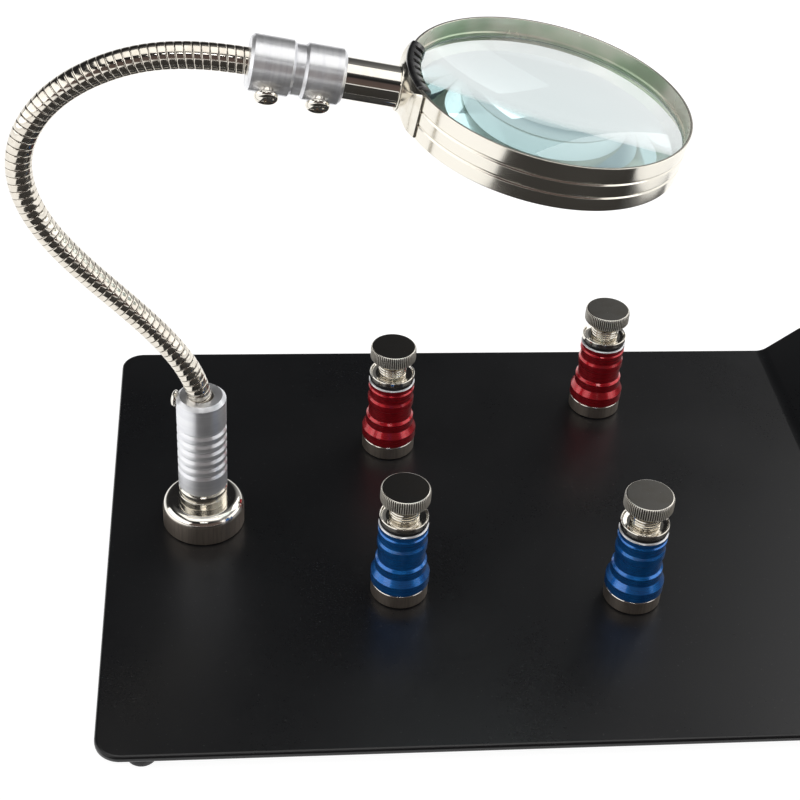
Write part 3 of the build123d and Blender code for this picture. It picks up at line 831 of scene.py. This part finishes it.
def make_lens_ring():
    """A thin rolled band with two beads that hold the glass between them."""
    rim = RIM_HEIGHT
    outer, inner = RING_RADIUS, RING_RADIUS - RING_WALL
    outside, inside = [(outer, rim)], [(inner, rim)]
    for drop in BEAD_DROPS:
        middle = rim - drop
        for radius, side in ((outer, outside), (inner, inside)):
            side += [(radius, middle + BEAD_HALF), (radius - BEAD_DEPTH, middle),
                     (radius, middle - BEAD_HALF)]
    outside.append((outer, rim - RING_HEIGHT))
    inside.append((inner, rim - RING_HEIGHT))
    outline = outside + inside[::-1]
    start = ((outer + inner) / 2, rim)
    outline = rounded([start] + outline + [start], 0.2, 6)
    ring = lathe("lens_band", outline[::-1], lens_frame(), 256)
    reach, level = points_of(ring)
    # the inside mark carries the inner wall's painted reflection and painted highlights
    mark(ring, "inside", (reach < inner + RING_WALL / 2) & (level < rim - 0.05))
    finished(ring, "satin_nickel", "magnifier", "lens_ring", finish="ring_nickel")


def make_saddle():
    """The plate round the ring's wall, flared to the handle's collar and creased to each corner."""
    head = lens_frame().inverted() @ (handle_frame() @ Vector((0, 0, HANDLE_REACH * MM))) / MM
    half = RING_RADIUS * SADDLE_HALF_ANGLE
    top, foot = RIM_HEIGHT - 0.05, RIM_HEIGHT - RING_HEIGHT + 0.05
    turn = np.arange(128) * tau / 128 + tau / 256
    across, rise = np.cos(turn), np.sin(turn)
    side_reach = (half - np.sign(across) * head.y) / np.abs(across)
    rise_reach = np.where(rise > 0, top - head.z, head.z - foot) / np.abs(rise)
    edge = np.minimum(side_reach, rise_reach)
    low, high = SADDLE_STANDS
    rows = [(HANDLE_RADIUS + 0.03, 0, high + 0.3), (SADDLE_COLLAR - 0.2, 0, high + 0.32),
            (SADDLE_COLLAR, 0, high + 0.15)]
    rows += [(SADDLE_COLLAR, share, low + (high - low) * (1 - share)**SADDLE_CURVE)
             for share in np.linspace(0, 1, 20)]
    rows += [(SADDLE_COLLAR, 1.006, low - 0.1), (SADDLE_COLLAR, 1.006, 0.02)]
    points = []
    for collar, share, stands in rows:
        reach = collar + (edge - collar) * share
        s, h = head.y + reach * across, head.z + reach * rise
        bend = s / RING_RADIUS * share
        radius = RING_RADIUS + stands
        level = np.where(bend == 0, s, radius * np.sin(bend) + s * (1 - share))
        points.append(np.stack([-radius * np.cos(bend), level, h], 1))
    faces = grid_faces(len(rows), len(turn))
    piece = mesh_piece("ring_saddle_flare", np.concatenate(points) * MM, faces, lens_frame())
    crisp_edges(piece, radians(28))
    finished(piece, "satin_nickel", "magnifier", "ring_saddle")


def make_insert():
    """A glossy moulded clip over the rim, with notches along its inner edge."""
    section = np.array([(radius, RIM_HEIGHT + rise) for radius, rise in INSERT_SECTION])
    inward = np.clip((30.75 - section[:, 0]) / 0.5, 0, 1)
    inner = inward * np.clip(section[:, 1] - RIM_HEIGHT + 2.6, 0, 1)
    middle = section.mean(axis=0)
    steps = INSERT_NOTCHES * 20 + 20
    points = []
    for number in range(steps + 1):
        share = number / steps
        angle = INSERT_MIDDLE + (share * 2 - 1) * INSERT_HALF_ANGLE
        wave = abs(((share * (INSERT_NOTCHES + 1)) % 1.0) - 0.5) * 2
        notch = np.clip((wave - 0.52) / 0.16, 0, 1) if 0.04 < share < 0.96 else 0.0
        notch = notch * notch * (3 - 2 * notch)
        ring = section + np.outer(inner, (0.75, -0.7)) * notch
        from_end = min(share, 1 - share) * 2 * INSERT_HALF_ANGLE * RING_RADIUS
        ease = sqrt(max(0.0, 1 - max(0.0, 1 - from_end / 0.6)**2))
        ring = middle + (ring - middle) * (0.72 + 0.28 * ease)
        points.append(np.stack([ring[:, 0] * cos(angle), ring[:, 0] * sin(angle), ring[:, 1]], 1))
    count = len(section)
    faces = grid_faces(steps + 1, count)
    faces += [tuple(range(count))[::-1], tuple(range(steps * count, (steps + 1) * count))]
    piece = mesh_piece("ring_clip_moulding", np.concatenate(points) * MM, faces, lens_frame())
    crisp_edges(piece, radians(40))
    finished(piece, "black_plastic", "magnifier", "ring_insert")


def make_glass():
    """The biconvex lens, with its cylindrical edge marked as ground."""
    sag = (GLASS_THICKNESS - GLASS_EDGE) / 2
    curve = (GLASS_RADIUS**2 + sag**2) / (2 * sag)
    face = []
    for share in np.linspace(0, 1, 40):
        r = (GLASS_RADIUS - 0.15) * share
        face.append((r, GLASS_EDGE / 2 + sag - (curve - sqrt(curve**2 - r**2))))
    rim = GLASS_RADIUS
    edge = [(rim, GLASS_EDGE / 2 - 0.15), (rim, -GLASS_EDGE / 2 + 0.15)]
    outline = face + edge + [(r, -h) for r, h in face[::-1]]
    lens = lathe("lens_glass_disc", outline[::-1], lens_frame(), 192)
    crisp_edges(lens, radians(30))
    reach, _ = points_of(lens)
    mark(lens, "ground", reach > rim - 0.07)
    finished(lens, "lens_glass", "magnifier", "lens")


# ---- board pillars ----

def make_pillar(name, slot):
    body = f"{name}_pillar"
    make_pot(f"{name}_pot", body, f"{name}_magnet_pot", *PILLAR_POT)
    base = upright(f"{name}_pillar")
    tall = PILLAR_OUTLINE[-1][1]
    outline = [(BORE_RADIUS, 0), *PILLAR_OUTLINE, (BORE_RADIUS, tall), (BORE_RADIUS, 0)]
    column = lathe(f"{name}_body", rounded(outline, 0.16, 5), base, 144)
    finished(column, slot, body, f"{name}_pillar")

    pad_node = f"{name}_rubber_washer"
    thick = height_of(pad_node)
    hole, rim = WASHER
    outline = [(hole, 0), (rim, 0), (rim, thick), (hole, thick), (hole, 0)]
    washer = lathe(f"{name}_rubber", rounded(outline, 0.3, 5), upright(pad_node), 96)
    finished(washer, "black_rubber", body, pad_node)

    dish = rounded(DISH_OUTLINE, ROUND, 5)
    cup = lathe(f"{name}_dish_plated", dish, upright(f"{name}_clamp_dish"), 128)
    finished(cup, "bright_nickel", f"{name}_dish", f"{name}_clamp_dish")
    make_thumb_screw(name)


def thread_ripple(turn, height):
    """How far the thread's surface lies below its crest at one height."""
    share = np.abs(((height / THREAD_PITCH - turn / tau) % 1.0) - 0.5) * 2
    return THREAD_DEPTH * share


def knurl_ripple(turn, depth):
    """Straight ridges with narrow crests and a flat-bottomed gap."""
    share = np.abs(((turn * KNURLS / tau) % 1.0) - 0.5) * 2
    return depth * np.clip((share - 0.25) / 0.5, 0, 1)


def make_thumb_screw(name):
    node = f"{name}_thumb_screw"
    base = upright(node)
    top = height_of(node)
    head = top - HEAD_HEIGHT
    neck = head - WAIST_HEIGHT
    thread_end = neck - 0.8
    heights = np.arange(0.4, thread_end, THREAD_PITCH / 8)
    shank = [(0, 0), (1.5, 0)] + [(THREAD_RADIUS, h) for h in heights]

    def threaded(turn, radius, height):
        return thread_ripple(turn, height) if radius == THREAD_RADIUS else 0 * turn

    piece = lathe(f"{name}_thread", shank + [(0, thread_end)], base, 40, threaded)
    piece.modifiers.clear()
    finished(piece, "zinc_steel", f"{name}_screw")

    waist = [(0, neck - 1.0), (1.9, neck - 1.0), (1.9, neck), (3.5, neck)]
    for number in range(4):
        level, reach = neck + 0.3 + 0.8 * number, 3.62 + 0.06 * number
        waist += [(reach, level), (reach - 0.16, level + 0.4)]
    waist += [(3.8, neck + 3.6), (3.95, head - 0.5), (4.3, head + 0.02), (4.3, head + 0.4),
              (0, head + 0.4)]
    piece = lathe(f"{name}_waist", rounded(waist, 0.2, 4), base, 112)
    finished(piece, "bright_nickel", f"{name}_screw")

    radius = HEAD_RADIUS
    levels = [                    # height, inset from the radius, share of the knurl's depth
        (head, 0.75, 0.0), (head + 0.2, 0.4, 0.6), (head + 0.5, 0.05, 1.0), (head + 0.62, 0.0, 1.0),
        (top - 1.25, 0.0, 1.0), (top - 0.7, 0.02, 1.0), (top - 0.45, 0.06, 1.0),
        (top - 0.30, 0.12, 0.8), (top - 0.17, 0.20, 0.45), (top - 0.08, 0.29, 0.15),
        (top - 0.02, 0.40, 0.0),
    ]
    outline = [(0, head)] + [(radius - inset, h) for h, inset, _ in levels]
    share_at = {h: share for h, _, share in levels}
    outline += [(radius - 0.5, top), (radius - 0.6, top), (0, top)]

    def knurled(turn, _, height):
        return knurl_ripple(turn, KNURL_DEPTH * share_at.get(height, 0.0))

    piece = lathe(f"{name}_knurled_head", outline, base, KNURLS * 8, knurled)
    crisp_edges(piece, radians(35))
    reach, level = points_of(piece)
    crest = np.interp(level, [h for h, _, _ in levels], [radius - inset for _, inset, _ in levels])
    walled = (level > head + 0.1) & (level < top - 0.1) & (reach > radius - 1.0)
    sunk = np.clip((crest - reach - 0.04) / (KNURL_DEPTH - 0.1), 0, 1)
    # the knurl mark also carries painted shade, darkest where the surface sinks between ridges
    mark(piece, "knurl", np.where(walled, 0.45 + 0.55 * sunk, 0))
    finished(piece, "bright_nickel", f"{name}_screw", node, finish="knurled_nickel")


# ---- studio ----

def area_light(name, place, target, size, power, colour=SOFT_WHITE):
    data = bpy.data.lights.new(name, "AREA")
    data.shape = "RECTANGLE"
    data.size, data.size_y = size
    data.energy = power
    data.color = colour
    light = bpy.data.objects.new(name, data)
    bpy.context.scene.collection.objects.link(light)
    light.location = place
    light.rotation_euler = (Vector(target) - Vector(place)).to_track_quat("-Z", "Y").to_euler()


def make_floor():
    mesh = bpy.data.meshes.new("floor")
    far = 6.0
    corners = [(-far, -far, 0), (far, -far, 0), (far, far, 0), (-far, far, 0)]
    mesh.from_pydata(corners, [], [(0, 1, 2, 3)])
    floor = bpy.data.objects.new("floor", mesh)
    bpy.context.scene.collection.objects.link(floor)
    finish = Finish("white_floor", grey(0.28), Roughness=0.9)
    finish.shader.inputs["Emission Color"].default_value = (1, 1, 1, 1)
    finish.shader.inputs["Emission Strength"].default_value = 0.93
    mesh.materials.append(finish.material)
    floor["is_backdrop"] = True


def make_card():
    """A black card on the floor in front, unseen by the camera, that darkens the plated parts."""
    mesh = bpy.data.meshes.new("front_card")
    left, right, near, far, lift = -0.21, 0.34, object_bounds()[0][1] - 0.004, -1.4, 0.001
    corners = [(left, near, lift), (right, near, lift), (right, far, lift), (left, far, lift)]
    mesh.from_pydata(corners, [], [(0, 3, 2, 1)])
    card = bpy.data.objects.new("front_card", mesh)
    bpy.context.scene.collection.objects.link(card)
    mesh.materials.append(Finish("black_card", (0.03, 0.028, 0.026), Roughness=0.95).material)
    card.visible_camera = False
    card.visible_transmission = False
    card.visible_shadow = False
    card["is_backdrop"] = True


def make_world():
    """A dim room with a bright horizon in reflections, pale through glass, white to the camera."""
    world = bpy.data.worlds.new("studio")
    bpy.context.scene.world = world
    world.use_nodes = True
    nodes, links = world.node_tree.nodes, world.node_tree.links
    background = nodes["Background"]
    place = nodes.new("ShaderNodeTexCoord").outputs["Generated"]
    split = nodes.new("ShaderNodeSeparateXYZ")
    links.new(place, split.inputs[0])

    def sky(*stops):
        ramp = nodes.new("ShaderNodeValToRGB")
        for number, (spot, shade) in enumerate(stops):
            elements = ramp.color_ramp.elements
            element = elements[number] if number < 2 else elements.new(spot)
            element.position = spot
            element.color = (*shade, 1)
        links.new(split.outputs["Z"], ramp.inputs[0])
        return ramp.outputs[0]

    def mixed(share, first, second):
        mix = nodes.new("ShaderNodeMix")
        mix.data_type = "RGBA"
        links.new(share, mix.inputs[0])
        for socket, value in ((6, first), (7, second)):
            if isinstance(value, tuple):
                mix.inputs[socket].default_value = (*value, 1)
            else:
                links.new(value, mix.inputs[socket])
        return mix.outputs[2]

    def smooth(letter, start, end):
        """From 0 to 1 as one coordinate goes from start to end."""
        node = nodes.new("ShaderNodeMapRange")
        node.interpolation_type = "SMOOTHSTEP"
        limits = {"From Min": start, "From Max": end, "To Min": 0.0, "To Max": 1.0}
        for socket, value in limits.items():
            node.inputs[socket].default_value = value
        links.new(split.outputs[letter], node.inputs["Value"])
        return node.outputs[0]

    round_about = sky((0.0, grey(0.9)), (1.0, grey(0.25)), (0.08, grey(0.7)), (0.22, grey(0.03)),
                      (0.70, (0.015, 0.015, 0.016)))
    to_the_right = sky((0.0, grey(0.9)), (1.0, grey(0.3)), (0.10, grey(0.6)), (0.30, grey(0.30)),
                       (0.70, grey(0.30)))
    in_front = sky((0.0, (0.12, 0.09, 0.08)), (1.0, grey(0.25)), (0.45, (0.10, 0.075, 0.07)),
                   (0.55, grey(0.02)), (0.85, grey(0.02)))
    backdrop = sky((0.0, grey(0.93)), (1.0, (0.55, 0.58, 0.60)), (0.35, (0.90, 0.91, 0.92)),
                   (0.6, (0.45, 0.50, 0.53)))
    path = nodes.new("ShaderNodeLightPath")
    round_about = mixed(smooth("X", 0.08, 0.55), round_about, to_the_right)
    lit = mixed(smooth("Y", -0.35, -0.75), round_about, in_front)
    lit = mixed(path.outputs["Is Transmission Ray"], lit, backdrop)
    seen = mixed(path.outputs["Is Camera Ray"], lit, grey(1.0))
    links.new(seen, background.inputs[0])


def make_light_paths():
    """Light trapped between the faces of the lens needs many reflections before it comes out."""
    paths = bpy.context.scene.cycles
    paths.max_bounces = paths.glossy_bounces = paths.transmission_bounces = 24


def make_lights():
    """Each light's place, what it points at, its size and its watts."""
    area_light("overhead", (-0.05, -0.13, 0.95), (-0.05, -0.13, 0), (1.3, 0.86), 4.1,
               (1.0, 0.985, 0.96))
    area_light("left_box", (-1.15, -0.31, 0.48), (0, 0, 0.05), (1.8, 0.75), 6.0)
    area_light("right_box", (1.15, -0.25, 0.42), (0, 0, 0.05), (1.5, 0.6), 3.0)
    area_light("rear_box", (1.05, 0.82, 1.02), (0, 0, 0.05), (1.0, 0.9), 4.0)
    area_light("front_strip", (-0.07, -0.82, 0.86), (-0.05, 0, 0.05), (0.34, 0.07), 0.42)


def make_camera():
    az, el, roll = CAMERA_AZIMUTH, CAMERA_DOWN, CAMERA_ROLL
    ahead = Vector((sin(az) * cos(el), cos(az) * cos(el), -sin(el)))
    level = Vector((cos(az), -sin(az), 0))
    above = level.cross(ahead)
    right = level * cos(roll) + above * sin(roll)
    up = above * cos(roll) - level * sin(roll)
    matrix = Matrix((right, up, -ahead)).transposed().to_4x4()
    matrix.translation = CAMERA_PLACE
    data = bpy.data.cameras.new("camera")
    data.lens = LENS_MM
    data.sensor_width = 36.0
    data.clip_start, data.clip_end = 0.01, 50
    camera = bpy.data.objects.new("camera", data)
    bpy.context.scene.collection.objects.link(camera)
    camera.matrix_world = matrix
    bpy.context.scene.camera = camera


dress_cad_nodes()
make_feet()
make_stand()
make_gooseneck()
make_coupler()
make_lens_ring()
make_saddle()
make_insert()
make_glass()
for pillar, dye in (("rear_left", "red_anodised"), ("rear_right", "red_anodised"),
                    ("front_left", "blue_anodised"), ("front_right", "blue_anodised")):
    make_pillar(pillar, dye)
make_floor()
make_card()
make_world()
make_light_paths()
make_lights()
make_camera()
bpy.context.scene.view_settings.view_transform = "Standard"

bpy.context.view_layer.update()
